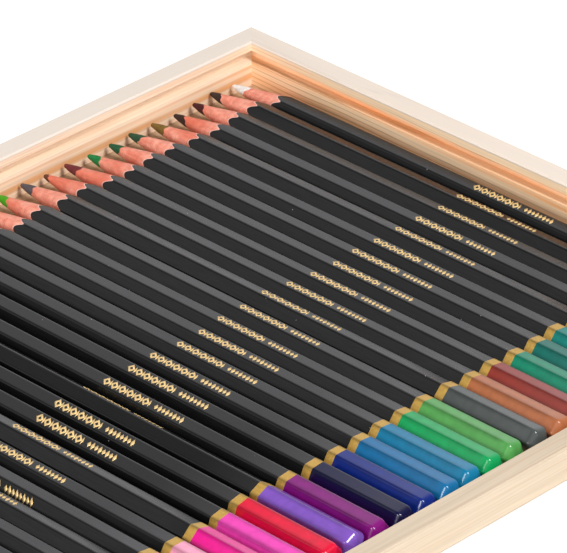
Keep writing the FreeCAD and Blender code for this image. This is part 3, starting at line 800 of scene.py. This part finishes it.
def casing_rings(length, bare, cone=CONE):
    """Rings, the finish of the band that starts at each, and the radius of the wood's mouth. The end is
    a rounded square profile: y = ROUND_END (1 - cos^p t), radius share sin^p t, p = 2 / SQUARENESS."""
    rings, finish = [], []

    # the rounded end
    power = 2 / SQUARENESS
    for t in np.radians(END_TURNS):
        share, y = math.sin(t) ** power, ROUND_END * (1 - math.cos(t) ** power)
        rings.append(straight_ring(y) * [share, 1, share])
        finish.append(DIPPED)

    # the straight part, in which the gold stands proud of the lacquer
    for y, swell, kind in (
            (ROUND_END, 0, DIPPED), (FULL_EDGE, 0, DIPPED),
            (DIP - STEP, 0, GOLD), (DIP, FOIL, GOLD), (BAND, FOIL, GOLD),
            (BAND + STEP, 0, LACQUER),
            (50, 0, LACQUER), (80, 0, LACQUER), (110, 0, LACQUER), (140, 0, LACQUER)):
        rings.append(straight_ring(y, swell))
        finish.append(kind)

    # the scalloped edge: three rings that bend the lacquer in towards the cut
    worn = radius - CUT_EDGE
    lip = on_cone(length, worn, cone)
    for back, sunk in CUT_BEND:
        rings.append(straight_ring(lip - back, -sunk))
        finish.append(LACQUER)

    # the cone, and the bore that the core sits in
    ray_x, ray_z = np.cos(angle), np.sin(angle)
    mouth = wood_line(cone, bare)
    for share in CUT_SHARES:
        r = worn + (mouth - worn) * share
        rings.append(np.stack([r * ray_x, on_cone(length, r, cone), r * ray_z], axis=1))
        finish.append(WOOD if share else UNDERCOAT)
    bore = rings[-1] * [BORE_FIT, 1, BORE_FIT] - [0, BORE_DEPTH, 0]
    return np.array(rings + [bore]), finish, mouth


rings, finish, mouth = casing_rings(WHOLE, (5.0, 5.0))
scallop = float(np.ptp(on_cone(WHOLE, radius)))
print("casing rings:", len(rings), "and scallops", round(scallop, 2), "mm deep")


# %% Build a casing
def make_casing(node, lie, bare, cone, dipped):
    """One casing in one mesh, with its five finishes by face."""
    rings, finish, _ = casing_rings(lie.length, bare, cone)
    count = rings.shape[1]
    end = np.array([0, rings[-1][:, 1].mean(), 0])
    vertices, faces = skin_rings(rings, (0, 0, 0), end)
    kinds = np.repeat(finish, count).tolist() + [DIPPED] * count + [WOOD] * count
    mouth_row = len(rings) - 2
    lip_row = mouth_row + 1 - len(CUT_SHARES)
    crisp = [(row * count, (row + 1) * count) for row in (lip_row, mouth_row)]
    casing = make_piece(node + "_casing", lay_down(vertices, lie), faces,
                        [dipped, BAND_GOLD, BLACK, PRIMER, CEDAR], kinds, node, crisp)
    # the painted dark lines along the edges fade in between FIRST_EDGE and FULL_EDGE
    painted_line_share = np.clip((rings[:, 0, 1] - FIRST_EDGE) / (FULL_EDGE - FIRST_EDGE), 0, 1)
    nearness = np.concatenate([np.outer(painted_line_share, near_edge).ravel(), [0.0, 0.0]]).astype(np.float32)
    casing.data.attributes.new("edge", "FLOAT", "POINT").data.foreach_set("value", nearness)
    return casing


print("faces of each finish:", np.bincount(finish) * len(section))

# %% [markdown]
# ## The core
#
# The core starts inside the bore and carries the cone on to its blunt tip. It shares the wobbly
# mouth of the wood, so there is no gap between them.

# %% Build a core
BLUNT = 0.68                       # radius at which the rounded tip begins
TIP_TURNS = (25, 50, 72)           # degrees: rings of the rounded tip
BELLY = 0.10                       # how far the core's side bulges, because wax doesn't cut straight
STUB, STUB_FIT = 1.4, 0.97         # how far the core reaches back into the bore, and its share of it


def make_core(node, lie, bare, cone, colour_material):
    """Core: a stub in the bore, the cone from the mouth, and a rounded tip."""
    length = lie.length
    mouth = wood_line(cone, bare)
    ray = np.stack([np.cos(angle), np.zeros(len(angle)), np.sin(angle)], axis=1)
    along = np.array([0, 1, 0])
    rings = [ray * (mouth * STUB_FIT)[:, None] + along * (on_cone(length, mouth, cone)[:, None] - STUB)]
    for share in (0, 0.25, 0.5, 0.75, 1):
        r = mouth + (BLUNT - mouth) * share
        worn = r + BELLY * math.sin(math.pi * share)
        rings.append(ray * worn[:, None] + np.outer(on_cone(length, r, cone), along))
    shoulder = on_cone(length, BLUNT, cone)
    for t in np.radians(TIP_TURNS):
        rings.append(ray * BLUNT * math.cos(t) + [0, shoulder + (length - shoulder) * math.sin(t), 0])
    rings = np.array(rings)
    bottom = (0, float(rings[0][:, 1].mean()), 0)
    vertices, faces = skin_rings(rings, bottom, (0, length, 0))
    make_piece(node + "_core", lay_down(vertices, lie), faces, [colour_material], body=node)


print("the core leaves the wood at a radius of", mouth.min().round(2), "to", mouth.max().round(2), "mm")

# %% [markdown]
# ## The gold stamp
#
# A stamp about 27 mm long is pressed into one flat of each pencil. Here it is a plain ornament of
# leaning lozenges: six open ones with a slim one after each, then eight small solid ones. It is a
# real film, 0.016 mm thick, made flat and thickened by a Solidify modifier.

# %% Stamp outline
STAMP_START = 91.7                 # millimetres from the dipped end
STAMP_FILM = 0.016                 # thickness of the film
LEAN = -0.30                       # a lozenge's shift along for each millimetre across

# how many lozenges, where the first one's middle is, and from one to the next
OPEN_COUNT, OPEN_FIRST, OPEN_PITCH = 6, 1.25, 2.62
SOLID_COUNT, SOLID_FIRST, SOLID_PITCH = 8, 17.9, 1.22

# half lengths and half heights, of which every other solid lozenge has TALLER more
OUTER, INNER, SLIM = (1.18, 1.48), (0.50, 0.62), (0.34, 1.30)
SOLID_LONG, SOLID_HIGH, TALLER = 0.56, 0.95, 0.30


def lozenge(middle, half_long, half_high):
    """Four corners (along, across) from half its length and half its height, leaning: along shifts by
    LEAN times across."""
    corners = np.array([[-half_long, 0], [0, -half_high], [half_long, 0], [0, half_high]])
    corners[:, 0] += LEAN * corners[:, 1]
    return (corners + [middle, 0]).tolist()


def stamp_outline():
    """Points and faces of the ornament in the plane of a flat. An open lozenge is a ring of four
    quads between two lozenges, a solid one is a single quad."""
    points, faces = [], []
    for n in range(OPEN_COUNT):
        middle, base = OPEN_FIRST + OPEN_PITCH * n, len(points)
        points += lozenge(middle, *OUTER) + lozenge(middle, *INNER)
        for q in range(4):
            after = (q + 1) % 4
            faces.append((base + q, base + after, base + 4 + after, base + 4 + q))
        base = len(points)
        points += lozenge(middle + OPEN_PITCH / 2, *SLIM)
        faces.append(tuple(range(base, base + 4)))
    for n in range(SOLID_COUNT):
        base = len(points)
        middle = SOLID_FIRST + SOLID_PITCH * n
        points += lozenge(middle, SOLID_LONG, SOLID_HIGH + TALLER * (n % 2))
        faces.append(tuple(range(base, base + 4)))
    return np.array(points), faces


stamp_points, stamp_faces = stamp_outline()
print("stamp is", round(float(np.ptp(stamp_points[:, 0])), 1), "mm long,", len(stamp_faces), "faces")


# %% Build a stamp
def make_stamp(node, lie, facet, start):
    """The ornament on one flat. facet counts flats from the top one, positive towards the left wall;
    start is the distance of its first lozenge from the dipped end."""
    along, x = stamp_points.T
    y, z = start - along, FLATS / 2 + STAMP_FILM / 2
    turn = math.radians(60 * facet)
    c, s = math.cos(turn), math.sin(turn)
    turned = np.stack([x * c - z * s, y, x * s + z * c], axis=1)
    stamp = make_piece(node + "_stamp", lay_down(turned, lie), stamp_faces, [MARK_GOLD], body=node)
    film = stamp.modifiers.new("film", "SOLIDIFY")
    film.thickness, film.offset = STAMP_FILM * MM, 0.0


print("stamp starts", STAMP_START, "mm from the dipped end")

# %% [markdown]
# ## The row
#
# Now the loop is short. Each pencil takes its colour, the flat that its stamp faces and how far the
# stamping press missed its mark. No two points are alike either: the wood reaches further along one
# side of the core than along the other, and the sharpener cut some cones a millimetre longer.

# %% Build the row
STAMP_FACETS = {19: -1, 24: 1, 27: -1, 30: 2, 33: 1}      # the pencils whose stamp isn't on top
STAMP_SHIFTS = [0.3, -0.7, -0.4, 0.5, 0.0, -0.6, 0.2, -0.5, -0.8, 0.5, 1.2, -0.1]
BARE_CORES = [(6.9, 4.6), (3.8, 5.6), (3.9, 5.6), (3.7, 6.2), (6.1, 5.9), (6.3, 4.4),
              (5.3, 4.8), (4.9, 5.9), (6.8, 5.2), (1.4, 2.9), (5.3, 5.6), (4.2, 5.6)]
CUTS = [1.0, 0.0, -0.3, 0.1, 0.4, 0.0, -0.7, 0.2, 0.9, -1.2, 0.1, -0.4]
for number, node in enumerate(pencil_nodes, start=1):
    lie, pick = lies[node], (number - 1) % len(CUTS)
    name, dipped_colour, core_colour = COLOURS[number - 1]
    bare, cone = BARE_CORES[pick], CONE + CUTS[pick]
    casing = make_casing(node, lie, bare, cone, dipped_lacquer(name, dipped_colour))
    make_core(node, lie, bare, cone, pigment_core(name, core_colour))
    make_stamp(node, lie, STAMP_FACETS.get(number, 0), STAMP_START + STAMP_SHIFTS[pick])
    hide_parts(node)
